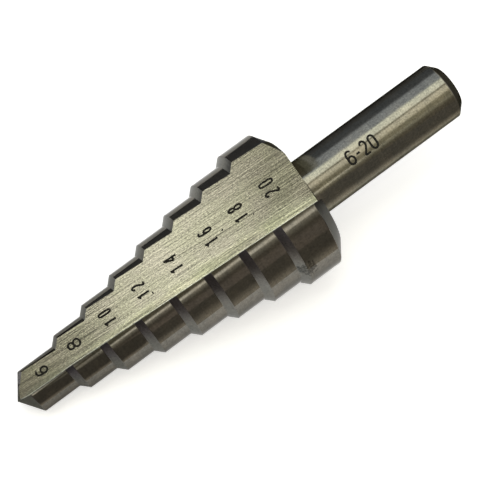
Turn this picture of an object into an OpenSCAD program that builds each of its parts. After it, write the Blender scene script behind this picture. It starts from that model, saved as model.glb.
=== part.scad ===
// Step drill, ground from one bar of tool steel, lying as it comes to rest on its lower flute.
// The drill is drawn along X with its point at the origin, then laid down on the surface.

/* [Cutting steps] */
// Diameter of the first step
first_d = 6; // [4:0.5:9]
// Growth in diameter from one step to the next
step_growth = 2; // [1.5:0.1:2.5]
// Number of steps
step_count = 8; // [5:1:9]
// Length of the first step, from its outer corner to the corner of the second step
first_step_len = 6.2; // [5:0.05:9]
// Distance from one shoulder to the next, after the first step
step_pitch = 5; // [4.5:0.1:8]
// Length of the last step, along its cylindrical land
last_land = 5; // [3:0.1:8]
// Angle of each shoulder to the axis
shoulder_angle = 45; // [35:1:60]
// How far each shoulder falls back, a quarter turn behind its cutting edge
shoulder_relief = 0.45; // [0.1:0.05:0.8]

/* [Point] */
// Angle included by the two lips
point_angle = 120; // [100:1:140]
// Angle by which the point's faces fall away behind the lips
point_relief = 5.5; // [3:0.5:10]
// Angle of the bevel on the point's heel to the axis, seen square to the flute's floor
heel_trace = 43; // [30:1:50]
// Lean of that bevel away from the flute's floor
heel_lean = 55; // [30:1:70]

/* [Flutes] */
// Thickness left between the two flutes at the point
web = 1.5; // [0.8:0.1:2.4]
// Climb of the flute's root towards the shank, in degrees
root_rise = 5.1; // [3:0.1:7]
// Sideways drift of the flute's root, in degrees
root_drift = 2.6; // [0:0.1:4]
// Angle between the flute's floor and its cutting wall
flute_angle = 81; // [70:1:95]
// Tilt of the flute's floor about the axis
floor_tilt = 9; // [0:0.5:20]
// Radius in the flute's root
root_radius = 0.5; // [0.2:0.05:1]

/* [Rear and shank] */
// Diameter of the rear face of the cutting part
rear_d = 15.7; // [12:0.1:18]
// Length of the chamfer that leads to the rear face
rear_chamfer = 1.8; // [0.5:0.1:3]
// Diameter of the shank
shank_d = 8; // [6:0.5:10]
// Length of the shank behind the rear face
shank_len = 23.3; // [15:0.1:40]
// Width of the 45 degree chamfer on the shank's end
end_chamfer = 1.1; // [0.3:0.1:2]

/* [Hidden] */
$fn = 96;
last = step_count - 1;
last_r = (first_d + last * step_growth) / 2;
point_len = first_d / 2 / tan(point_angle / 2);
land_end = step_x(last) + last_land;
rear_x = land_end + rear_chamfer;
total_len = rear_x + shank_len;
end_r = shank_d / 2 - end_chamfer;
// The shoulders are cones on an axis set aside from the drill's, which gives them their relief
relief_lead = 45;
relief_offset = shoulder_relief * tan(shoulder_angle) / sqrt(2);
// Cutters and halves reach this far past what they cut
reach = last_r * 1.5;
lap = 0.5;

// Radius of a step, and the place of its outer corner straight above the axis
function step_r(i) = (first_d + i * step_growth) / 2;
function step_x(i) = i == 0 ? point_len : point_len + first_step_len + (i - 1) * step_pitch;

// Distance from the shoulders' own axis to a place on a step's rim, at an angle from Y towards Z
function rim_gap(r, angle) =
    sqrt(r * r + relief_offset * relief_offset - 2 * r * relief_offset * cos(angle - relief_lead));

// Place along the axis at which the point's leaning cone reaches the first step's rim
function point_rim_x(angle) =
    let (
        r = first_d / 2,
        side = r * cos(angle) * sin(point_relief),
        lean = cos(point_relief),
        open = cos(point_angle / 2),
        span = lean * lean - open * open
    )
    (sqrt(side * side * lean * lean - span * (side * side - r * r * open * open)) - side * lean) / span;

// Place along the axis of a step's corner, on the land whose cutting edge faces up
function corner_x(i, angle) =
    i == 0 ? point_rim_x(angle)
    : step_x(i) + (rim_gap(step_r(i), angle) - rim_gap(step_r(i), 90)) / tan(shoulder_angle);

// The flute's frame: its root starts half a web above the axis, then climbs and drifts
root_start = [0, 0, web / 2];
across = [sin(root_drift), cos(root_drift), 0];
above = [-sin(root_rise) * cos(root_drift), sin(root_rise) * sin(root_drift), cos(root_rise)];
floor_normal = cos(floor_tilt) * above - sin(floor_tilt) * across;
wall_turn = floor_tilt + flute_angle;
wall_normal = sin(wall_turn) * across - cos(wall_turn) * above;

// Angle at which a plane through the flute's root meets a rim; side picks one of the two places
function rim_angle(normal, x, r, side) =
    let (level = normal * root_start - normal[0] * x, pull = norm([normal[1], normal[2]]))
    atan2(normal[2], normal[1]) + side * acos(level / pull / r);

// Corners of the upper flute's two edges on a step: the cutting edge, then the heel
function rim_point(x, r, angle) = [x, r * cos(angle), r * sin(angle)];
function cut_corner(i) =
    let (angle = rim_angle(wall_normal, step_x(i), step_r(i), 1))
    rim_point(corner_x(i, angle), step_r(i), angle);
function heel_corner(i) =
    let (
        guess = rim_angle(floor_normal, step_x(i), step_r(i), -1),
        angle = rim_angle(floor_normal, corner_x(i, guess + 180), step_r(i), -1)
    )
    rim_point(corner_x(i, angle + 180), step_r(i), angle);

// The lower flute is the upper one turned half round the axis
function below(p) = [p[0], -p[1], -p[2]];
rest_cut = below(cut_corner(last));
rest_heel = below(heel_corner(last));

// The drill rests on the last step's two corners and on one corner further forward
function up_from(p) = cross(rest_cut - p, rest_heel - p);
function unit(v) = v / norm(v);
forward_corners = [for (i = [0:last - 1]) each [below(cut_corner(i)), below(heel_corner(i))]];
rest_ups = [
    for (p = forward_corners)
        let (n = unit(up_from(p)), up = n[2] > 0 ? n : -n)
        if (min([for (q = forward_corners) up * (q - rest_cut)]) > -0.0001) up
];
up = rest_ups[0];
along = unit([1, 0, 0] - up[0] * up);
side_way = cross(up, along);
x_middle = (total_len * along[0] + end_r * norm([along[1], along[2]])) / 2;

module along_x(x) {
    translate([x, 0, 0]) rotate([0, 90, 0]) children();
}

// One step: a cylinder cut in front by its shoulder, a cone set aside for relief
module step(i) {
    r = step_r(i);
    apex = step_x(i) - rim_gap(r, 90) / tan(shoulder_angle);
    finish = i == last ? land_end : step_x(i + 1) + lap;
    intersection() {
        along_x(apex) cylinder(h = finish - apex, r = r);
        translate([0, relief_offset * cos(relief_lead), relief_offset * sin(relief_lead)])
            along_x(apex)
                cylinder(h = finish + lap - apex, r1 = 0, r2 = (finish + lap - apex) * tan(shoulder_angle));
    }
}

// Half of the first step with its point: a cone leaning away from the lip, which falls back behind it
module point_half() {
    depth = step_x(1) + lap;
    wide = depth * tan(point_angle / 2);
    intersection() {
        along_x(0) cylinder(h = depth, r = first_d / 2);
        rotate([0, 0, point_relief]) along_x(0) cylinder(h = depth * 2, r1 = 0, r2 = wide * 2);
        translate([-lap, -reach, -reach]) cube([depth + 2 * lap, reach, 2 * reach]);
    }
}

// The half of the stepped body that carries one land, cut apart along the middle of the flutes
module land_half() {
    intersection() {
        for (i = [1:last]) step(i);
        rotate([floor_tilt + flute_angle / 2, 0, 0])
            translate([-lap, -reach, -lap]) cube([rear_x, 2 * reach, reach + lap]);
    }
}

module rear_end() {
    along_x(land_end) cylinder(h = rear_chamfer, r1 = last_r, r2 = rear_d / 2);
}

module shank() {
    straight = total_len - end_chamfer;
    along_x(land_end) cylinder(h = straight - land_end, r = shank_d / 2);
    along_x(straight) cylinder(h = end_chamfer, r1 = shank_d / 2, r2 = end_r);
}

// Puts a cutter in the flute's frame: X along the root, Y along the floor, Z square to the floor
module in_flute() {
    translate(root_start)
        rotate([0, -root_rise, -root_drift])
            rotate([floor_tilt, 0, 0]) children();
}

// The ground groove, with its floor, its cutting wall and the round between them
module flute() {
    foot = root_radius / tan(flute_angle / 2);
    in_flute()
        translate([-reach, 0, 0])
            rotate([90, 0, 90])
                linear_extrude(total_len + 2 * reach) {
                    polygon([
                        [foot, 0],
                        [reach, 0],
                        [reach, reach],
                        [reach / tan(flute_angle), reach],
                        [foot * cos(flute_angle), foot * sin(flute_angle)]
                    ]);
                    translate([foot, root_radius]) circle(r = root_radius);
                }
}

// The bevel that clears the point's heel beside the flute's floor; it starts clear of the cutting wall
module heel_bevel() {
    in_flute()
        rotate([0, 0, heel_trace])
            rotate([-heel_lean, 0, 0])
                translate([web * 0.4, -web / 6, 0])
                    cube([first_d, first_d, first_d / 2]);
}

module drill() {
    difference() {
        union() {
            for (turn = [0, 180])
                rotate([turn, 0, 0]) {
                    point_half();
                    land_half();
                }
            rear_end();
            shank();
        }
        for (turn = [0, 180])
            rotate([turn, 0, 0]) {
                flute();
                heel_bevel();
            }
    }
}

// Laid on its lower flute, point towards -X, with the middle of its outline over the origin
module step_drill() {
    color([0.55, 0.54, 0.48])
        translate([-x_middle, 0, -(up * rest_cut)])
            multmatrix([
                [along[0], along[1], along[2], 0],
                [side_way[0], side_way[1], side_way[2], 0],
                [up[0], up[1], up[2], 0],
                [0, 0, 0, 1]
            ])
                drill();
}

step_drill();
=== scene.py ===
import math
import random

import bpy
from mathutils import Matrix, Vector


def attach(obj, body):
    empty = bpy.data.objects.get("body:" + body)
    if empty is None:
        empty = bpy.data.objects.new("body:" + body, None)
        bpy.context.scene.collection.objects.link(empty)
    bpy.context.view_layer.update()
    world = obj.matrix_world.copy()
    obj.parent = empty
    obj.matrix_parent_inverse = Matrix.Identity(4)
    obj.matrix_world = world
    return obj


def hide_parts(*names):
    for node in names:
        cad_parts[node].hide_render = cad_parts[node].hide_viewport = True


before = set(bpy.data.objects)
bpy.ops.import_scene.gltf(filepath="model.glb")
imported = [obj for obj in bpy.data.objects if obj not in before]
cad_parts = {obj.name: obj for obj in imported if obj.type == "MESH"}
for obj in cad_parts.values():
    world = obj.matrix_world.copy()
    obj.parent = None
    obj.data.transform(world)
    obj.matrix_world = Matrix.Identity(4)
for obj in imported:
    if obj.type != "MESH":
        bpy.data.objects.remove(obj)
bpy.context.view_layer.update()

# the drill is shaped in millimetres along X, point at the origin, and laid down at the end
layDown = Matrix((
    (0.9879871958749762, -0.060345506524137886, -0.1422663720963138, -33.831474403940895),
    (0.0, 0.9206048689588012, -0.39049542282765426, 0.0),
    (0.1545357589268632, 0.38580447780150723, 0.9095458229914558, 2.42647056793062),
    (0.0, 0.0, 0.0, 1.0),
))
mm = 0.001  # a millimetre in metres

body = {
    "segments": 240,  # every 1.5 degrees, so a corner falls on each quarter turn
    "firstRadius": 3.0,
    "radiusGrowth": 1.0,
    "steps": 8,
    "firstLength": 6.2,
    "pitch": 5.0,
    "lastLand": 5.0,
    "shoulderAngle": 45.0,
    "relief": 0.45,  # how far a shoulder falls back in the quarter turn behind its cutting edge
    "reliefLead": 45.0,  # where round the drill the shoulders' own axis lies
    "pointAngle": 120.0,  # between the lips, which face up and down
    "pointRelief": 5.5,
    "tip": 0.04,  # how far behind the apex the rings start
    "rearChamfer": 1.57,
    "rearRadius": 7.85,
    "shankRadius": 4.0,
    "shankLength": 23.53,
    "endChamfer": 1.1,
    "pointWear": 0.05,  # worn round on the point's rim, and on the rims of the other steps
    "rimWear": 0.03,
    "footRound": 0.12,  # round left by the wheel at the foot of a shoulder
    "mergeGap": 0.0008,  # points closer than this become one
    "smoothAngle": 28.0,  # faces that meet at less than this look smooth
    "evenNormals": 80,  # how far the large faces decide the shading at a corner
}

flute = {
    "web": 1.5,
    "rise": 5.1,
    "drift": 2.6,
    "tilt": 9.0,
    "angle": 81.0,  # from the floor to the cutting wall
    "edgeAngle": 85.0,  # where the cutting edges lie round the axis
    "rootRadius": 0.15,
    "rootSegments": 6,
    "reach": 26.0,
    "front": 12.0,
    "back": 84.0,
    "frontBend": [(0.0, 0.0), (1.75, -0.22), (8.0, 0.0)],  # the cutting wall bulges beside the point
    "heelTrace": 49.0,
    "heelLean": 55.0,
    "heelSize": (6.0, 6.0, 3.0),
    "heelShift": (0.73, -0.25, 0.0),
}
near = 0.01  # the slack with which a place is found


def stepRadius(i):
    return body["firstRadius"] + i * body["radiusGrowth"]


def stepPlace(i):
    pointLength = body["firstRadius"] / math.tan(math.radians(body["pointAngle"] / 2))
    return pointLength if i == 0 else pointLength + body["firstLength"] + (i - 1) * body["pitch"]


landEnd = stepPlace(body["steps"] - 1) + body["lastLand"]
rearPlace = landEnd + body["rearChamfer"]
fullLength = rearPlace + body["shankLength"]
lastRadius = stepRadius(body["steps"] - 1)


def pickOnly(piece):
    if bpy.context.object and bpy.context.object.mode == "EDIT":
        bpy.ops.object.mode_set(mode="OBJECT")
    bpy.ops.object.select_all(action="DESELECT")
    piece.select_set(True)
    bpy.context.view_layer.objects.active = piece


def applyPlace(piece, place):
    pickOnly(piece)
    piece.matrix_world = place
    bpy.ops.object.transform_apply(location=True, rotation=True, scale=True)


def copyPiece(piece, name):
    twin = piece.copy()
    twin.data = piece.data.copy()
    twin.name = name
    twin.data.name = name
    bpy.context.collection.objects.link(twin)
    return twin


def applyModifier(piece, kind, **settings):
    pickOnly(piece)
    modifier = piece.modifiers.new(kind.lower(), kind)
    for key, value in settings.items():
        setattr(modifier, key, value)
    bpy.ops.object.modifier_apply(modifier=modifier.name)


def onWholeMesh(piece, operator, **settings):
    pickOnly(piece)
    bpy.ops.object.mode_set(mode="EDIT")
    bpy.ops.mesh.select_all(action="SELECT")
    operator(**settings)
    bpy.ops.object.mode_set(mode="OBJECT")


def pickParts(piece, kind, parts, wanted):
    # enters edit mode with only the wanted edges or points
    pickOnly(piece)
    bpy.ops.object.mode_set(mode="EDIT")
    bpy.ops.mesh.select_mode(type=kind)
    bpy.ops.mesh.select_all(action="DESELECT")
    bpy.ops.object.mode_set(mode="OBJECT")
    for part in getattr(piece.data, parts):
        part.select = wanted(part)
    bpy.ops.object.mode_set(mode="EDIT")


def pickEdges(piece, wanted):
    # only the edges along X whose middle is wanted
    def lengthwise(edge):
        a, b = (piece.data.vertices[k].co for k in edge.vertices)
        return abs(a.x - b.x) > 1 and wanted((a + b) / 2)

    pickParts(piece, "EDGE", "edges", lengthwise)


def pickPoints(piece, wanted):
    pickParts(piece, "VERT", "vertices", lambda point: wanted(point.co))


def layOnTable(piece):
    applyPlace(piece, Matrix.Scale(mm, 4) @ layDown)


def rimGap(radius, angle):
    offset = body["relief"] / math.sqrt(2)
    lead = math.radians(angle - body["reliefLead"])
    return math.sqrt(radius ** 2 + offset ** 2 - 2 * radius * offset * math.cos(lead))


def coneRim(angle):
    # where the leaning cone of the point reaches the first step's rim
    radius = body["firstRadius"]
    relief = math.radians(body["pointRelief"])
    side = radius * math.cos(math.radians(angle)) * math.sin(relief)
    lean = math.cos(relief)
    opening = math.cos(math.radians(body["pointAngle"] / 2))
    span = lean ** 2 - opening ** 2
    inside = (side * lean) ** 2 - span * (side ** 2 - (radius * opening) ** 2)
    return (math.sqrt(inside) - side * lean) / span


corners = {
    # rings beside each corner: how far along the axis and outwards from it; the foot and the rims are
    # drawn to the size of their round, the rest in millimetres
    "cones": (0.9, 1.6),  # rings on the point itself, by their place alone
    "pointRim": [(-0.3, -0.5), (1, 0)],
    "foot": [(-1, 0), (-0.15, 0.2), (0.707, 0.707)],
    "rim": [(-0.707, -0.707), (0.1, -0.15), (1, 0)],
    "landEnd": [(-0.1, 0), (0, -0.03)],
    "chamferStart": [(0.08, -0.01)],
    "chamferEnd": [(-0.06, 0), (0, -0.07)],
    "collar": [(0.001, 0.3), (0.09, 0.09), (0.3, 0)],
    "shankEnd": [(-0.08, 0), (0.01, -0.03), (0.09, -0.09)],
    "tail": [(-0.07, 0.07), (-0.01, -0.02), (0, -0.1)],
}


def beside(place, radius, corner, size=1.0, shoulder=-1, slope=0.0):
    # the rings of one corner; a slope is that of the cone it lies on
    return [
        (place + along * size, radius - slope * along + out * size, shoulder)
        for along, out in corners[corner]
    ]


def pointSlope():
    return 1 / math.tan(math.radians(body["pointAngle"] / 2))


def bodyRings():
    # each ring: place along the axis, radius, which shoulder it belongs to, or -1 for none
    slope, worn = pointSlope(), body["pointWear"]
    rings = [(place, place / slope, 0) for place in corners["cones"]]
    rings.append((stepPlace(0) - 2 * worn * slope, stepRadius(0) - 2 * worn, 0))
    rings += beside(stepPlace(0), stepRadius(0), "pointRim", worn, 0)
    foot = body["footRound"] * math.tan(math.radians(body["shoulderAngle"] / 2))
    for i in range(1, body["steps"]):
        place, radius, growth = stepPlace(i), stepRadius(i), body["radiusGrowth"]
        rings += beside(place - growth, radius - growth, "foot", foot, i)
        rings += beside(place, radius, "rim", body["rimWear"], i)
    rearSlope = (lastRadius - body["rearRadius"]) / body["rearChamfer"]
    endRadius = body["shankRadius"] - body["endChamfer"]
    rings += beside(landEnd, lastRadius, "landEnd")
    rings += beside(landEnd, lastRadius, "chamferStart", slope=rearSlope)
    rings += beside(rearPlace, body["rearRadius"], "chamferEnd", slope=rearSlope)
    rings += beside(rearPlace, body["shankRadius"], "collar")
    rings += beside(fullLength - body["endChamfer"], body["shankRadius"], "shankEnd")
    rings += beside(fullLength, endRadius, "tail")
    rings.append((fullLength, endRadius / 2, -1))
    return rings


def turnBody():
    x, radius = body["tip"], body["tip"] / pointSlope()
    bpy.ops.mesh.primitive_circle_add(
        vertices=body["segments"], radius=radius, fill_type="TRIFAN",
        rotation=(0, math.pi / 2, 0), location=(x, 0, 0),
    )
    piece = bpy.context.object
    piece.name = piece.data.name = "drill_body"
    bpy.ops.object.transform_apply(location=True, rotation=True, scale=True)
    bpy.ops.object.mode_set(mode="EDIT")
    bpy.ops.mesh.select_mode(type="EDGE")
    bpy.ops.mesh.select_all(action="SELECT")
    bpy.ops.mesh.region_to_loop()
    rings = bodyRings()
    for place, wide, _ in rings:
        bpy.ops.mesh.extrude_edges_move(TRANSFORM_OT_translate={"value": (place - x, 0, 0)})
        growth = wide / radius
        bpy.ops.transform.resize(value=(1, growth, growth), center_override=(place, 0, 0))
        x, radius = place, wide
    bpy.ops.mesh.edge_face_add()
    bpy.ops.object.mode_set(mode="OBJECT")
    leanShoulders(piece, rings)
    return piece


def leanShoulders(piece, rings):
    # the shoulders fall back behind their cutting edges, and the point's cones lean from its lips
    count = body["segments"]
    middle = flute["tilt"] + flute["angle"] / 2
    for point in piece.data.vertices:
        radius = math.hypot(point.co.y, point.co.z)
        if point.index == 0:
            point.co.x = 0.0
            continue
        row = (point.index - 1) // count - 1
        angle = math.degrees(math.atan2(point.co.z, point.co.y)) % 360
        shoulder = rings[row][2] if row >= 0 else 0
        if shoulder == 0:
            turn = angle if 90 <= angle <= 270 else (angle + 180) % 360
            point.co.x *= coneRim(turn) / coneRim(90)
        elif shoulder > 0:
            rim = stepRadius(shoulder)
            turn = angle if middle <= angle < middle + 180 else angle + 180
            level = min(radius, rim)
            point.co.x += rimGap(level, turn) - rimGap(rim, 90) - (level - rim)
    piece.data.update()


def fluteFrame():
    rise = Matrix.Rotation(math.radians(-flute["rise"]), 4, "Y")
    drift = Matrix.Rotation(math.radians(-flute["drift"]), 4, "Z")
    tilt = Matrix.Rotation(math.radians(flute["tilt"]), 4, "X")
    return Matrix.Translation((0, 0, flute["web"] / 2)) @ drift @ rise @ tilt


def cutterWedge():
    # a grinding wheel's path: a long wedge with its floor, its cutting wall and a rounded root
    reach, front, back = flute["reach"], flute["front"], flute["back"]
    bpy.ops.mesh.primitive_cube_add(size=1, location=((back - front) / 2, reach / 2, reach / 2))
    wedge = bpy.context.object
    wedge.name = wedge.data.name = "flute_cutter"
    wedge.scale = (front + back, reach, reach)
    bpy.ops.object.transform_apply(location=True, rotation=True, scale=True)
    pickEdges(wedge, lambda middle: middle.y < near and middle.z > reach - near)
    lean = reach / math.tan(math.radians(flute["angle"]))
    bpy.ops.transform.translate(value=(0, lean, 0))
    for place, _ in flute["frontBend"]:
        bpy.ops.mesh.select_all(action="SELECT")
        bpy.ops.mesh.bisect(plane_co=(place, 0, 0), plane_no=(1, 0, 0))
    for place, aside in flute["frontBend"]:
        pickPoints(wedge, lambda spot: abs(spot.x - place) < near and spot.y < reach / 2)
        bpy.ops.transform.translate(value=(0, aside, 0))
    pickEdges(wedge, lambda middle: middle.y < near and middle.z < near)
    foot = flute["rootRadius"] / math.tan(math.radians(flute["angle"] / 2))
    bpy.ops.mesh.bevel(
        offset=foot, offset_type="OFFSET", segments=flute["rootSegments"], profile=0.5, affect="EDGES"
    )
    bpy.ops.object.mode_set(mode="OBJECT")
    return wedge


def heelCutter():
    size, shift = flute["heelSize"], flute["heelShift"]
    bpy.ops.mesh.primitive_cube_add(size=1, location=[shift[k] + size[k] / 2 for k in range(3)])
    cutter = bpy.context.object
    cutter.name = cutter.data.name = "heel_cutter"
    cutter.scale = size
    bpy.ops.object.transform_apply(location=True, rotation=True, scale=True)
    lean = Matrix.Rotation(math.radians(-flute["heelLean"]), 4, "X")
    trace = Matrix.Rotation(math.radians(flute["heelTrace"]), 4, "Z")
    applyPlace(cutter, trace @ lean)
    return cutter


def plug(tree, socket, value):
    if isinstance(value, bpy.types.NodeSocket):
        tree.links.new(value, socket)
    elif socket.type == "RGBA" and len(value) == 3:
        socket.default_value = (*value, 1)
    else:
        socket.default_value = value


def addNode(tree, kind, inputs=(), **settings):
    # inputs are pairs of a socket's name or number and a value or another node's socket
    made = tree.nodes.new("ShaderNode" + kind)
    for key, value in settings.items():
        setattr(made, key, value)
    for key, value in inputs:
        plug(tree, made.inputs[key], value)
    return made


def calc(tree, operation, *values):
    return addNode(tree, "Math", list(enumerate(values)), operation=operation).outputs[0]


def vectorCalc(tree, operation, *values, output="Vector"):
    made = addNode(tree, "VectorMath", list(enumerate(values)), operation=operation)
    return made.outputs[output]


def mark(tree, place, cells, detail, roughness, shows=None):
    # noise with so many cells in a millimetre along each axis; with limits, only what passes them shows
    spread = vectorCalc(tree, "MULTIPLY", place, cells)
    inputs = [("Vector", spread), ("Scale", 1.0), ("Detail", detail), ("Roughness", roughness)]
    made = addNode(tree, "TexNoise", inputs).outputs["Fac"]
    return fade(tree, made, *shows) if shows else made


def weighed(tree, start, marks, weights):
    # start plus each mark times its weight
    total = start
    for name, weight in weights.items():
        total = calc(tree, "MULTIPLY_ADD", marks[name], weight, total)
    return total


def fade(tree, value, low, high, first=0.0, last=1.0):
    # eases from first to last while the value goes from low to high
    inputs = [("Value", value), ("From Min", low), ("From Max", high), ("To Min", first), ("To Max", last)]
    return addNode(tree, "MapRange", inputs, interpolation_type="SMOOTHSTEP").outputs["Result"]


def mixed(tree, amount, first, second):
    made = addNode(tree, "Mix", [(0, amount)], data_type="RGBA")
    plug(tree, made.inputs[6], first)
    plug(tree, made.inputs[7], second)
    return made.outputs[2]


def shaded(tree, colour, amount):
    # a colour made lighter or darker by an amount around 1
    made = addNode(tree, "VectorMath", [(0, colour), ("Scale", amount)], operation="SCALE")
    return made.outputs["Vector"]


def tinted(tone, change):
    return tuple(tone[k] * change[k] for k in range(3))


def split(tree, vector):
    return addNode(tree, "SeparateXYZ", [(0, vector)]).outputs


def drillPlace(tree):
    # millimetres along the drill's own axis, whichever way it was laid down
    back = layDown.inverted()
    spot = addNode(tree, "TexCoord").outputs["Object"]
    inputs = [
        ("Vector", spot), ("Location", back.to_translation()), ("Rotation", back.to_euler()),
        ("Scale", (1 / mm, 1 / mm, 1 / mm)),
    ]
    return addNode(tree, "Mapping", inputs).outputs["Vector"]


def nearerHalf(tree, place):
    # turns the lower half of the drill onto the upper one, so both flutes and lands wear the same way
    middle = math.radians(flute["tilt"] + flute["angle"] / 2)
    facing = (0, math.cos(middle), math.sin(middle))
    sign = calc(tree, "SIGN", vectorCalc(tree, "DOT_PRODUCT", place, facing, output="Value"))
    flip = addNode(tree, "CombineXYZ", [(0, 1.0), (1, sign), (2, sign)]).outputs[0]
    return vectorCalc(tree, "MULTIPLY", place, flip)


def flutePlace(tree, place):
    # millimetres along the nearer flute's root, across its floor and up from it
    back, upper = fluteFrame().inverted(), nearerHalf(tree, place)
    inputs = [("Vector", upper), ("Location", back.to_translation()), ("Rotation", back.to_euler())]
    return addNode(tree, "Mapping", inputs).outputs["Vector"]


def newMaterial(name):
    material = bpy.data.materials.new(name)
    material.use_nodes = True
    return material, material.node_tree


def finish(tree, colour, roughness, height, depth):
    # depth is how far the relief reaches into the surface, in thousandths of a millimetre
    shader = tree.nodes["Principled BSDF"]
    plug(tree, shader.inputs["Base Color"], colour)
    plug(tree, shader.inputs["Roughness"], roughness)
    relief = [("Height", height), ("Distance", depth * mm / 1000), ("Strength", 1.0)]
    plug(tree, shader.inputs["Normal"], addNode(tree, "Bump", relief).outputs["Normal"])


def startSteel(name, glare):
    # glare is how much of the shine at a glancing look the worn surface keeps
    material, tree = newMaterial(name)
    shader = tree.nodes["Principled BSDF"]
    shader.inputs["Metallic"].default_value = 1
    shader.inputs["Specular Tint"].default_value = (glare, glare, glare, 1)
    return material, tree


wheel = {
    # marks the wheel left in the flute: cells in a millimetre along the root, across the floor and upwards,
    # detail, roughness, and the limits between which a mark shows
    "broad": ((0.05, 3.4, 1.0), 4, 0.75),
    "fine": ((0.13, 7.5, 2.0), 2, 0.6),
    "grit": ((3.4, 7.0, 2.0), 2, 0.6),
    "scratch": ((0.06, 5.5, 1.0), 1, 0.5, (0.62, 0.7)),
    "blotch": ((0.3, 0.3, 0.3), 3, 0.5, (0.35, 0.65)),
    "fan": 2.4,  # degrees between the broad marks and the fine ones
    # how much each mark lightens and raises the steel; the start keeps the lightness around 1
    "light": {"broad": 1.2, "fine": 2.6, "grit": 2.2, "scratch": -0.35},
    "lightStart": -2.0,
    "height": {"broad": 1.6, "fine": 1.0, "scratch": -0.6},
    "matt": 0.16,  # how far the fine marks change the roughness
    "blotchTint": (0.98, 1.01, 0.95),
}

groundFinishes = {
    # tone, roughness, depth; then the painted shade towards the point and painted light at the steps along
    # the root:
    # over how many mm, what it is at the point, and what at the steps
    "ground flute floor": ((0.335, 0.329, 0.288), 0.21, 3.5, (8.0, 0.9, 1.0)),
    "ground flute root": ((0.4, 0.395, 0.345), 0.42, 3.0, (16.0, 0.6, 1.2)),
    "ground cutting wall": ((0.4, 0.395, 0.345), 0.24, 2.0, (17.0, 0.3, 1.25)),
    "ground heel bevel": ((0.38, 0.365, 0.36), 0.32, 2.0, (8.0, 0.9, 1.0)),
}


def groundSteel(name, tone, rough, depth, along):
    # the wheel's fine scratches run along the flute, in two directions that cross at a few degrees
    material, tree = startSteel(name, 1.0)
    spot = flutePlace(tree, drillPlace(tree))
    turn = (0, 0, math.radians(wheel["fan"]))
    fanned = addNode(tree, "Mapping", [("Vector", spot), ("Rotation", turn)]).outputs[0]
    marks = {kind: mark(tree, fanned, *wheel[kind]) for kind in ("broad", "scratch")}
    marks.update({kind: mark(tree, spot, *wheel[kind]) for kind in ("fine", "grit", "blotch")})
    colour = mixed(tree, marks["blotch"], tone, tinted(tone, wheel["blotchTint"]))
    level = weighed(tree, wheel["lightStart"], marks, wheel["light"])
    # painted shade towards the point and painted light at the steps, standing in for how the light falls
    # along the flute
    level = calc(tree, "MULTIPLY", level, fade(tree, split(tree, spot)[0], 0.0, *along))
    roughness = weighed(tree, rough - wheel["matt"] / 2, marks, {"fine": wheel["matt"]})
    height = weighed(tree, 0.0, marks, wheel["height"])
    finish(tree, shaded(tree, colour, level), roughness, height, depth)
    return material


marksAndPaintedLight = {
    # marks on the turned and relieved faces, with the painted highlight and painted shade on them, written
    # as the flute's are, but along the drill's own axes
    "cloud": ((0.45, 0.45, 0.45), 4, 0.6),
    "speck": ((3.2, 3.2, 3.2), 3, 0.6),
    "grit": ((3.6, 4.5, 4.5), 2, 0.6),
    "glint": ((2.3, 2.3, 2.3), 2, 0.6, (0.73, 0.78)),
    "edgeHighlightNoise": ((1.3, 1.3, 1.3), 2, 0.5),
    "ringAcross": 0.35,  # cells in a millimetre across the drill; along it, each finish has its own
    "ringDetail": (3, 0.65),
    "pitFrom": (0.66, 0.73),  # the specks' levels between which pits appear, and the clouds' for stains
    "stain": (0.35, 0.68),
    "stainTint": (1.03, 1.0, 0.97),
    # edge is the painted highlight along the cutting and heel edges
    "light": {"rings": 0.5, "cloud": 0.5, "grit": 1.0, "pit": -0.55, "glint": 0.4, "edge": 1.35},
    "height": {"rings": 1.0, "pit": -0.8},
    "matt": 0.14,  # how far the clouds change the roughness
    "dirtPlace": (38.3, -7.9, 5.5),  # crusted dirt on the last shoulder, in the drill's frame
    "dirtReach": (0.5, 2.4),  # it fades between these distances
    "dirtPits": 0.28,  # how many more pits it brings
    "edgeHighlightWidth": 0.09,  # the painted highlight along an edge, which starts behind the first step
    "edgeCore": 0.2,  # the share of that width which is fully bright
    "edgeHighlightStart": (7.5, 9.0),
    "aboveRoot": (0.3, 0.6),  # the lines start so far up the wall and across the floor
    "besideRoot": (0.4, 0.8),
    "firstEdgeShadeWidth": 0.6,  # a painted shade beside the first cutting edges, and where along the drill it ends
    "firstEdgeShadeEnd": (8.0, 14.0),
}

turnedFinishes = {
    # tone, roughness, depth, rings in a millimetre, glare, strength of the painted shade beside the first
    # edges
    "ground land": ((0.14, 0.134, 0.12), 0.1, 0.7, 5.0, 0.5, 0.8),
    "ground shoulder": ((0.137, 0.137, 0.127), 0.3, 1.2, 5.0, 0.6, 0.0),
    "ground point": ((0.09, 0.09, 0.078), 0.4, 2.0, 4.0, 0.55, 0.0),
    "turned rear chamfer": ((0.065, 0.064, 0.055), 0.3, 2.0, 6.0, 0.6, 0.0),
    "turned shank": ((0.215, 0.208, 0.178), 0.15, 1.6, 4.0, 0.2, 0.0),
    "turned shank end": ((0.15, 0.147, 0.122), 0.25, 2.0, 8.0, 0.3, 0.0),
}
shoulderShadeTints = {
    # a painted shade behind a cutting edge, where the shoulders' reflections are dark, and the degrees over
    # which it fades
    "ground shoulder": ((0.076, 0.069, 0.073), 22.0, 62.0),
}


def behindEdge(tree, place):
    # degrees round the axis behind the nearest cutting edge, 0 to 180
    _, y, z = split(tree, place)
    angle = calc(tree, "ARCTAN2", z, y)
    turned = calc(tree, "ADD", angle, 2 * math.pi - math.radians(flute["edgeAngle"]))
    return calc(tree, "MULTIPLY", calc(tree, "MODULO", turned, math.pi), 180 / math.pi)


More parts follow.
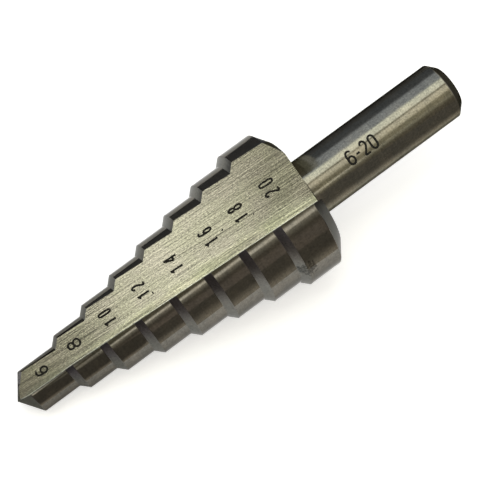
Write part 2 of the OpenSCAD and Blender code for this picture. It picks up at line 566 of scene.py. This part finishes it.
def edgeLine(tree, place, width):
    # 1 in a line along the flute's cutting edge and its heel edge, clear of the flute's root
    _, y, z = split(tree, flutePlace(tree, place))
    angle, core = math.radians(flute["angle"]), marksAndPaintedLight["edgeCore"] * width
    up = calc(tree, "MULTIPLY", z, math.cos(angle))
    wall = calc(tree, "SUBTRACT", calc(tree, "MULTIPLY", y, math.sin(angle)), up)
    cutting = fade(tree, calc(tree, "ABSOLUTE", wall), core, width, 1.0, 0.0)
    cutting = calc(tree, "MULTIPLY", cutting, fade(tree, z, *marksAndPaintedLight["aboveRoot"]))
    heel = fade(tree, calc(tree, "ABSOLUTE", z), core, width, 1.0, 0.0)
    heel = calc(tree, "MULTIPLY", heel, fade(tree, y, *marksAndPaintedLight["besideRoot"]))
    return calc(tree, "MAXIMUM", cutting, heel)


def turnedSteel(name, tone, rough, depth, rings, glare, firstEdgeShade):
    # fine lines run round the axis; stains and pits lie over them; the edges get a painted highlight, and
    # beside the first cutting edges and behind the shoulders' cutting edges lies a painted shade
    material, tree = startSteel(name, glare)
    place = drillPlace(tree)
    x = split(tree, place)[0]
    marks = {kind: mark(tree, place, *marksAndPaintedLight[kind]) for kind in ("cloud", "speck", "grit", "glint", "edgeHighlightNoise")}
    marks["rings"] = mark(tree, place, (rings, marksAndPaintedLight["ringAcross"], marksAndPaintedLight["ringAcross"]), *marksAndPaintedLight["ringDetail"])
    away = vectorCalc(tree, "DISTANCE", place, marksAndPaintedLight["dirtPlace"], output="Value")
    dirt = fade(tree, away, *marksAndPaintedLight["dirtReach"], marksAndPaintedLight["dirtPits"], 0.0)
    marks["pit"] = fade(tree, calc(tree, "ADD", marks["speck"], dirt), *marksAndPaintedLight["pitFrom"])
    # a painted highlight along the cutting and heel edges, broken up by noise, from the second step on
    edge = calc(tree, "MULTIPLY", edgeLine(tree, place, marksAndPaintedLight["edgeHighlightWidth"]), marks["edgeHighlightNoise"])
    marks["edge"] = calc(tree, "MULTIPLY", edge, fade(tree, x, *marksAndPaintedLight["edgeHighlightStart"]))
    stain = fade(tree, marks["cloud"], *marksAndPaintedLight["stain"])
    colour = mixed(tree, stain, tone, tinted(tone, marksAndPaintedLight["stainTint"]))
    # the shoulders are painted darker just behind each cutting edge: a painted shade
    if name in shoulderShadeTints:
        shadeTone, start, end = shoulderShadeTints[name]
        colour = mixed(tree, fade(tree, behindEdge(tree, place), start, end), shadeTone, colour)
    level = weighed(tree, 0.0, marks, marksAndPaintedLight["light"])
    # a painted shade darkens a strip beside the first cutting edges
    if firstEdgeShade:
        paintedShadeStrip = edgeLine(tree, place, marksAndPaintedLight["firstEdgeShadeWidth"])
        paintedShadeStrip = calc(tree, "MULTIPLY", paintedShadeStrip, fade(tree, x, *marksAndPaintedLight["firstEdgeShadeEnd"], firstEdgeShade, 0.0))
        level = calc(tree, "MULTIPLY", level, calc(tree, "SUBTRACT", 1.0, paintedShadeStrip))
    roughness = weighed(tree, rough - marksAndPaintedLight["matt"] / 2, marks, {"cloud": marksAndPaintedLight["matt"]})
    height = weighed(tree, 0.0, marks, marksAndPaintedLight["height"])
    finish(tree, shaded(tree, colour, level), roughness, height, depth)
    return material


marking = {
    "patch": ((6.0, 6.0, 6.0), 3, 0.7),  # the black is patchy: its noise is written as the steel's marks are
    "dark": (0.004, 0.004, 0.0035),
    "pale": (0.02, 0.019, 0.016),
    "paleFrom": (0.3, 0.75),
    "roughness": (0.2, 0.8, 0.6, 0.8),  # between these levels of the patches, from this to that
    "gloss": 0.15,
    "depth": 4.0,
}


def blackMark(name):
    material, tree = newMaterial(name)
    patch = mark(tree, drillPlace(tree), *marking["patch"])
    colour = mixed(tree, fade(tree, patch, *marking["paleFrom"]), marking["dark"], marking["pale"])
    plug(tree, tree.nodes["Principled BSDF"].inputs["Specular IOR Level"], marking["gloss"])
    finish(tree, colour, fade(tree, patch, *marking["roughness"]), patch, marking["depth"])
    return material


steels = {name: groundSteel(name, *numbers) for name, numbers in groundFinishes.items()}
steels.update({name: turnedSteel(name, *numbers) for name, numbers in turnedFinishes.items()})
markBlack = blackMark("black marking")
print("materials", len(bpy.data.materials))

zones = {
    # how far past its corner a turned finish starts, in mm
    "endPast": 0.05,
    "shankPast": 0.2,
    "rearPast": 0.04,
    "insideRim": 0.08,
    # how squarely the faces of a shoulder look along the axis, and those of the flute's floor downwards
    "shoulderFacing": 0.5,
    "floorFacing": 0.999,
    "rootHeight": 1.0,  # no face of the root's round has its middle this high
}


def turnedZones(piece):
    # the body's faces take their finish by where they lie and which way they face
    finishes = list(turnedFinishes)
    for name in finishes:
        piece.data.materials.append(steels[name])
    for face in piece.data.polygons:
        x, radius = face.center.x, math.hypot(face.center.y, face.center.z)
        if x > fullLength - body["endChamfer"] + zones["endPast"]:
            name = "turned shank end"
        elif x > rearPlace + zones["shankPast"]:
            name = "turned shank"
        elif x > landEnd + zones["rearPast"]:
            name = "turned rear chamfer"
        elif radius < stepRadius(0) - zones["insideRim"]:
            name = "ground point"
        elif abs(face.normal.x) > zones["shoulderFacing"]:
            name = "ground shoulder"
        else:
            name = "ground land"
        face.material_index = finishes.index(name)


def cutterZones(cutter):
    # the bottom of the cut, the round beside it and the upright wall each take their own finish
    for name in ("ground flute floor", "ground flute root", "ground cutting wall"):
        cutter.data.materials.append(steels[name])
    for face in cutter.data.polygons:
        if face.normal.z < -zones["floorFacing"]:
            face.material_index = 0
        else:
            face.material_index = 2 if face.center.z > zones["rootHeight"] else 1


def grindFlutes(piece):
    wedge, heel = cutterWedge(), heelCutter()
    cutterZones(wedge)
    heel.data.materials.append(steels["ground heel bevel"])
    cutters = [wedge, heel]
    for cutter in cutters:
        applyPlace(cutter, fluteFrame())
    halfTurn = Matrix.Rotation(math.pi, 4, "X")
    for cutter in cutters[:]:
        twin = copyPiece(cutter, cutter.name + "_below")
        applyPlace(twin, halfTurn)
        cutters.append(twin)
    for cutter in cutters:
        applyModifier(
            piece, "BOOLEAN",
            operation="DIFFERENCE", solver="EXACT", material_mode="TRANSFER", object=cutter,
        )
    for cutter in cutters:
        bpy.data.objects.remove(cutter)


drillBody = turnBody()
onWholeMesh(drillBody, bpy.ops.mesh.normals_make_consistent, inside=False)
turnedZones(drillBody)
grindFlutes(drillBody)
onWholeMesh(drillBody, bpy.ops.mesh.remove_doubles, threshold=body["mergeGap"])
bpy.ops.object.shade_smooth_by_angle(angle=math.radians(body["smoothAngle"]))
applyModifier(drillBody, "WEIGHTED_NORMAL", keep_sharp=True, weight=body["evenNormals"])
layOnTable(drillBody)
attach(drillBody, "root")
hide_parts("step_drill")
print("body", len(drillBody.data.vertices), "vertices", len(drillBody.data.polygons), "faces")

numbers = {
    "strokeWidth": 0.26,
    "thickness": 0.02,
    "unsteady": (0.88, 1.12),  # the pen's width varies between these shares of it
    "seed": 4,
    "roundness": 2,
    # each character: middle along the flute's root, middle across its floor, height, width
    "places": [
        ("6", 4.56, 1.52, 1.78, 1.02),
        ("8", 9.69, 2.06, 1.9, 1.22),
        ("1", 14.98, 1.91, 1.92, 0.56), ("0", 14.90, 3.18, 1.92, 0.68),
        ("1", 20.22, 2.41, 1.93, 0.56), ("2", 20.17, 3.66, 1.92, 0.7),
        ("1", 25.42, 2.80, 2.04, 0.56), ("4", 25.36, 4.18, 2.04, 0.8),
        ("1", 30.85, 3.20, 2.1, 0.56), ("6", 30.78, 4.69, 2.08, 0.7),
        ("1", 35.60, 3.61, 2.1, 0.56), ("8", 35.52, 5.04, 2.1, 0.74),
        ("2", 40.53, 4.13, 2.13, 0.76), ("0", 40.45, 5.52, 2.13, 0.78),
    ],
    # on the shank: left edge along the axis, height, width
    "range": [
        ("6", 50.72, 2.1, 1.15), ("-", 52.0, 2.1, 0.85), ("2", 52.98, 2.1, 1.05), ("0", 54.28, 2.1, 1.1),
    ],
    "rangeMiddle": -0.06,
    "rangeStroke": 0.29,
}


def arc(x, y, wide, high, start, end, turnStep=18):
    count = max(4, int(abs(end - start) / turnStep))
    turns = [math.radians(start + (end - start) * k / count) for k in range(count + 1)]
    return [(x + wide * math.cos(turn), y + high * math.sin(turn)) for turn in turns]


# strokes of each character in a box one wide and one high; a sharp corner starts a new stroke
strokes = {
    "0": [arc(0.5, 0.74, 0.5, 0.26, 0, 180) + arc(0.5, 0.26, 0.5, 0.26, 180, 360) + [(1, 0.74)]],
    "1": [[(-0.4, 0.78), (0.6, 0.92)], [(0.6, 1.0), (0.6, 0.0)]],
    "2": [arc(0.5, 0.72, 0.48, 0.28, 165, -35) + [(0.0, 0.0)], [(0.0, 0.0), (1.0, 0.0)]],
    "4": [[(0.84, 0.0), (0.84, 1.0)], [(0.84, 1.0), (0.0, 0.3)], [(0.0, 0.3), (1.12, 0.3)]],
    "6": [arc(0.52, 0.72, 0.5, 0.28, 35, 180) + arc(0.5, 0.29, 0.5, 0.29, 180, 540)],
    "8": [arc(0.5, 0.76, 0.42, 0.24, -90, 270), arc(0.5, 0.27, 0.5, 0.27, 90, 450)],
    "-": [[(0.05, 0.46), (0.95, 0.46)]],
}


def dense(line, step=0.12):
    # the same line with a point at least every step
    points = [line[0]]
    for (x0, y0), (x1, y1) in zip(line, line[1:]):
        count = max(1, math.ceil(math.hypot(x1 - x0, y1 - y0) / step))
        points += [(x0 + (x1 - x0) * k / count, y0 + (y1 - y0) * k / count) for k in range(1, count + 1)]
    return points


def strokeMesh(name, lines, wide):
    # lines drawn flat on the XY plane become one thin mesh, half sunk into the plane
    drawing = bpy.data.curves.new(name, "CURVE")
    drawing.dimensions = "3D"
    drawing.bevel_depth = wide / 2
    drawing.bevel_resolution = numbers["roundness"]
    drawing.use_fill_caps = True
    unsteady = random.Random(numbers["seed"])
    for line in lines:
        places = dense(line)
        spline = drawing.splines.new("POLY")
        spline.points.add(len(places) - 1)
        for point, (x, y) in zip(spline.points, places):
            point.co = (x, y, 0, 1)
            point.radius = unsteady.uniform(*numbers["unsteady"])
    piece = bpy.data.objects.new(name, drawing)
    bpy.context.collection.objects.link(piece)
    pickOnly(piece)
    bpy.ops.object.convert(target="MESH")
    applyPlace(piece, Matrix.Diagonal((1, 1, numbers["thickness"] / wide, 1)))
    bpy.ops.object.shade_smooth()
    return piece


def fluteNumbers():
    lines, pen = [], numbers["strokeWidth"]
    for character, x, y, high, wide in numbers["places"]:
        tall, broad = high - pen, wide - pen
        for stroke in strokes[character]:
            lines.append([(x + tall * (0.5 - up), y + broad * (across - 0.5)) for across, up in stroke])
    piece = strokeMesh("numbers_on_flute", lines, pen)
    applyPlace(piece, fluteFrame())
    return piece


def shankRange():
    lines, pen, middle = [], numbers["rangeStroke"], numbers["rangeMiddle"]
    for character, x, high, wide in numbers["range"]:
        left, broad, tall = x + pen / 2, wide - pen, high - pen
        for stroke in strokes[character]:
            lines.append([(left + broad * across, middle + tall * (up - 0.5)) for across, up in stroke])
    piece = strokeMesh("range_on_shank", lines, pen)
    # wrapped round the shank
    for point in piece.data.vertices:
        turn = point.co.y / body["shankRadius"]
        radius = body["shankRadius"] + point.co.z
        point.co.y, point.co.z = radius * math.sin(turn), radius * math.cos(turn)
    return piece


nicks = {
    # small dark nicks in the flute's floor: lines of places along the root and across the floor
    "lines": [
        [(21.3, 1.8), (21.32, 2.1)], [(32.66, 3.6), (32.9, 3.72)],
        [(37.05, 3.16), (37.2, 3.14)], [(38.68, 2.03), (38.74, 2.05)],
    ],
    "width": 0.18,
}


def fluteNicks():
    piece = strokeMesh("nicks_in_flute", nicks["lines"], nicks["width"])
    applyPlace(piece, fluteFrame())
    return piece


for piece in (fluteNumbers(), shankRange(), fluteNicks()):
    piece.data.materials.append(markBlack)
    layOnTable(piece)
    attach(piece, "root")
print("numbers drawn")

studio = {
    "floorSize": 3.0,
    "floorTone": (0.84, 0.84, 0.86),
    "floorFade": (0.1, 0.6, 1.0, 0.6),  # metres from the drill, and how light the floor is there
    "floorGlow": 0.5,
    # reflections find the table darker beside the point than beside the last steps: metres along X, glow
    "glowTurn": (-0.03, -0.006, -0.85, 0.35),
    # light round the drill's axis: degrees from the camera's side towards the cutting edge, then its colour
    "bands": [
        (-180, (0.175, 0.19, 0.215)), (-78, (0.175, 0.19, 0.215)), (-69, (0.78, 0.84, 0.94)),
        (-42, (0.85, 0.91, 1.0)), (-36, (2.45, 2.5, 2.2)), (-17, (2.5, 2.5, 2.2)), (-14, (0.5, 0.46, 0.33)),
        (-11, (0.5, 0.46, 0.33)), (-8, (1.95, 1.85, 1.55)), (9, (1.85, 1.75, 1.4)), (13, (0.7, 0.65, 0.48)),
        (24, (0.64, 0.6, 0.42)), (27, (0.5, 0.46, 0.35)), (31, (0.75, 0.72, 0.56)), (41, (0.3, 0.275, 0.2)),
        (48, (0.23, 0.205, 0.155)), (90, (0.19, 0.175, 0.15)), (98, (0.5, 0.5, 0.49)),
        (180, (0.5, 0.5, 0.49)),
    ],
    # the same beside the lands, which look further towards the point
    "landBands": [
        (0, (1.95, 1.85, 1.55)), (3, (1.2, 1.1, 0.88)), (7, (0.36, 0.33, 0.24)), (25, (0.28, 0.26, 0.17)),
        (27, (0.7, 0.66, 0.54)), (33, (0.75, 0.71, 0.58)), (37, (0.52, 0.49, 0.4)), (41, (0.28, 0.25, 0.2)),
        (44, (0.26, 0.23, 0.18)), (50, (0.44, 0.38, 0.32)), (64, (0.45, 0.39, 0.33)),
        (68, (0.4, 0.345, 0.29)), (72, (0.25, 0.23, 0.185)), (90, (0.22, 0.2, 0.165)),
    ],
    "front": (0.26, 0.26, 0.265),
    "behind": (0.25, 0.24, 0.22),
    "ends": (0.85, 0.84, 0.78),  # the dome above both ends
    # between which headings each of them fades: how far a heading points along the drill's axis, or upwards
    "landFade": (0.18, 0.21, 1.0, 0.0),
    "frontFade": (-0.75, -0.35),
    "behindFade": (0.5, 0.85),
    "endFades": [(0.32, 0.5), (-0.5, -0.25, 1.0, 0.0)],
    "upFade": (0.2, 0.42),
}


def bandRamp(tree, share, bands):
    ramp = addNode(tree, "ValToRGB", [(0, share)])
    stops = ramp.color_ramp.elements
    while len(stops) < len(bands):
        stops.new(0.5)
    for stop, (degrees, _) in zip(stops, bands):
        stop.position = (degrees + 180) / 360
    for stop, (_, colour) in zip(stops, bands):
        stop.color = (*colour, 1)
    return ramp.outputs["Color"]


def studioLight():
    world = bpy.data.worlds.new("studio")
    bpy.context.scene.world = world
    world.use_nodes = True
    tree = world.node_tree
    heading = addNode(tree, "TexCoord").outputs["Generated"]
    up = split(tree, heading)[2]
    turnBack = layDown.to_3x3().inverted().to_euler()
    heading = addNode(tree, "Mapping", [("Vector", heading), ("Rotation", turnBack)]).outputs["Vector"]
    x, y, z = split(tree, heading)
    turn = calc(tree, "ARCTAN2", calc(tree, "MULTIPLY", y, -1.0), z)
    share = calc(tree, "ADD", calc(tree, "DIVIDE", turn, 2 * math.pi), 0.5)
    bands, landBands = studio["bands"], studio["landBands"]
    first, last, oneDegree = math.radians(landBands[0][0]), math.radians(landBands[-1][0]), math.radians(1)
    past = fade(tree, turn, first, first + oneDegree)
    before = fade(tree, turn, last - oneDegree, last, 1.0, 0.0)
    lands = calc(tree, "MULTIPLY", calc(tree, "MULTIPLY", past, before), fade(tree, x, *studio["landFade"]))
    light = mixed(tree, lands, bandRamp(tree, share, bands), bandRamp(tree, share, landBands))
    light = mixed(tree, fade(tree, x, *studio["behindFade"]), light, studio["behind"])
    light = mixed(tree, fade(tree, x, *studio["frontFade"]), studio["front"], light)
    ends = calc(tree, "MAXIMUM", *[fade(tree, x, *limits) for limits in studio["endFades"]])
    dome = calc(tree, "MULTIPLY", ends, fade(tree, up, *studio["upFade"]))
    light = mixed(tree, dome, light, studio["ends"])
    plug(tree, tree.nodes["Background"].inputs["Color"], light)


def makeFloor():
    bpy.ops.mesh.primitive_plane_add(size=studio["floorSize"], location=(0, 0, 0))
    floor = bpy.context.object
    floor.name = floor.data.name = "floor"
    material, tree = newMaterial("pale table")
    tree.nodes.remove(tree.nodes["Principled BSDF"])
    rays = addNode(tree, "LightPath").outputs
    seen = calc(tree, "MAXIMUM", rays["Is Camera Ray"], rays["Is Glossy Ray"])
    seen = calc(tree, "MAXIMUM", seen, rays["Is Transmission Ray"])
    spot = addNode(tree, "TexCoord").outputs["Object"]
    distance = vectorCalc(tree, "LENGTH", spot, output="Value")
    light = fade(tree, distance, *studio["floorFade"])
    matt = addNode(tree, "BsdfDiffuse", [("Color", shaded(tree, studio["floorTone"], light))]).outputs[0]
    side = fade(tree, split(tree, spot)[0], *studio["glowTurn"])
    side = calc(tree, "MULTIPLY_ADD", rays["Is Glossy Ray"], side, 1.0)
    glow = calc(tree, "MULTIPLY", calc(tree, "MULTIPLY", seen, studio["floorGlow"]), light)
    glow = calc(tree, "MULTIPLY", glow, side)
    shine = addNode(tree, "Emission", [("Strength", glow)]).outputs[0]
    both = addNode(tree, "AddShader", [(0, matt), (1, shine)]).outputs[0]
    tree.links.new(both, tree.nodes["Material Output"].inputs["Surface"])
    floor.data.materials.append(material)


def standInDrillFrame(thing, axes, spot):
    # places a camera or a lamp by its own three axes and its spot, both in the drill's frame
    turned = Matrix(axes).transposed().to_4x4()
    turned.translation = spot
    placed = layDown @ turned
    place, turn = placed.to_translation() * mm, placed.to_quaternion()
    thing.matrix_world = Matrix.LocRotScale(place, turn, (1, 1, 1))


view = {
    # where the photograph was taken from, in the drill's own frame, in millimetres
    "eye": (0.65205081, -1.264568, 235.18367477),
    "towards": (0.14195161, 0.0047055, -0.98986241),
    "right": (0.79809702, -0.5920966, 0.11163677),
    "down": (-0.58556886, -0.80585326, -0.08780452),
    "sensor": 36,
    "lens": 140.965,
}


def addCamera():
    data = bpy.data.cameras.new("camera")
    data.sensor_width = view["sensor"]
    data.lens = view["lens"]
    camera = bpy.data.objects.new("camera", data)
    bpy.context.collection.objects.link(camera)
    right, down, towards = (Vector(view[key]) for key in ("right", "down", "towards"))
    standInDrillFrame(camera, (right, -down, -towards), view["eye"])
    bpy.context.scene.camera = camera


cards = {
    # low cards stood round the drill, seen only in its reflections: corners on the table and the height at
    # each in mm, tone, how much lighter the foot is, and the height in mm at which that has faded out
    "point side card": ([(-42, -8, 14), (-16, -14.7, 11)], (0.21, 0.19, 0.155), 4.2, 3.5),
    "middle side card": ([(-16, -14.7, 10.2), (-10, -16.3, 11.3)], (0.25, 0.227, 0.187), 3.7, 6),
    "cutting side card": (
        [(-10, -16.3, 11.3), (8, -21, 14.4), (14, -21, 14.4)], (0.255, 0.232, 0.19), 3.6, 8.5,
    ),
    "shank front card": ([(11.5, -11, 16), (42, -11, 16)], (0.215, 0.2, 0.175), 5.2, 9.5),
    "heel side card": ([(-42, 20, 18), (8, 40, 18), (45, 40, 18)], (0.17, 0.172, 0.178), 1.0, 5),
    "shank side card": ([(16, 42, 12), (17, 14, 12), (42, 14, 12)], (0.18, 0.185, 0.205), 1.0, 5),
    "collar card": ([(9.2, 6.5, 30), (11.6, 6.5, 30)], (0.13, 0.12, 0.08), 1.0, 5),
    "collar edge card": ([(11.6, 6.5, 30), (12.5, 6.5, 30)], (0.27, 0.265, 0.2), 1.0, 5),
    "collar fading card": ([(12.5, 6.5, 30), (13.4, 6.5, 30)], (0.5, 0.5, 0.46), 1.0, 5),
    "front card": ([(-42, -8, 9), (-42, 24, 9)], (0.2, 0.2, 0.215), 1.0, 5),
    "back card": ([(42, -20, 20), (42, 14, 20)], (0.23, 0.22, 0.2), 1.0, 5),
}
cardLift = 0.2  # the cards stand this far above the table, in mm


def standCard(name, places, tone, foot, footHeight):
    points = []
    for x, y, rise in places:
        points += [Vector((x, y, level)) * mm for level in (cardLift, cardLift + rise)]
    faces = [(2 * k, 2 * k + 2, 2 * k + 3, 2 * k + 1) for k in range(len(places) - 1)]
    mesh = bpy.data.meshes.new(name)
    mesh.from_pydata(points, [], faces)
    board = bpy.data.objects.new(name, mesh)
    bpy.context.collection.objects.link(board)
    material, tree = newMaterial(name)
    tree.nodes.remove(tree.nodes["Principled BSDF"])
    level = split(tree, addNode(tree, "TexCoord").outputs["Object"])[2]
    lift = fade(tree, level, 0.0, footHeight * mm, foot, 1.0)
    shine = addNode(tree, "Emission", [("Color", tone), ("Strength", lift)]).outputs[0]
    tree.links.new(shine, tree.nodes["Material Output"].inputs["Surface"])
    mesh.materials.append(material)
    board.visible_camera = False
    board.visible_diffuse = False
    board.visible_transmission = False
    board.visible_shadow = False


lamps = {
    # aim on the drill in its own frame; degrees round its axis towards the cutting edge, and lean along it;
    # size in mm; radiance
    "flat softbox": ((23.15, 3.3, 3.0), 16.0, -0.075, (53, 57), 3.1),
    "wall softbox": ((26.0, 2.5, 3.0), -16.3, -0.05, (37, 60), 5.5),
    "edge strip": ((24.0, -4.0, 7.0), 29.0, 0.15, (98, 34), 1.7),
}
lampTone = (1.0, 0.97, 0.86)
lampDistance = 380


def addLamp(name, aim, degrees, lean, size, radiance):
    turn = math.radians(degrees)
    out = math.sqrt(1 - lean ** 2)
    way = Vector((lean, -out * math.sin(turn), out * math.cos(turn)))
    data = bpy.data.lights.new(name, "AREA")
    data.shape = "RECTANGLE"
    data.size, data.size_y = size[0] * mm, size[1] * mm
    data.energy = radiance * math.pi * data.size * data.size_y
    data.color = lampTone
    light = bpy.data.objects.new(name, data)
    bpy.context.collection.objects.link(light)
    # it looks back along the way, and its width lies along the drill's axis
    along = (Vector((1, 0, 0)) - way * lean).normalized()
    standInDrillFrame(light, (along, way.cross(along), way), Vector(aim) + way * lampDistance)


studioLight()
makeFloor()
for cardName, card in cards.items():
    standCard(cardName, *card)
addCamera()
for lampName, lamp in lamps.items():
    addLamp(lampName, *lamp)
bpy.context.scene.view_settings.view_transform = "Standard"
print("studio set")
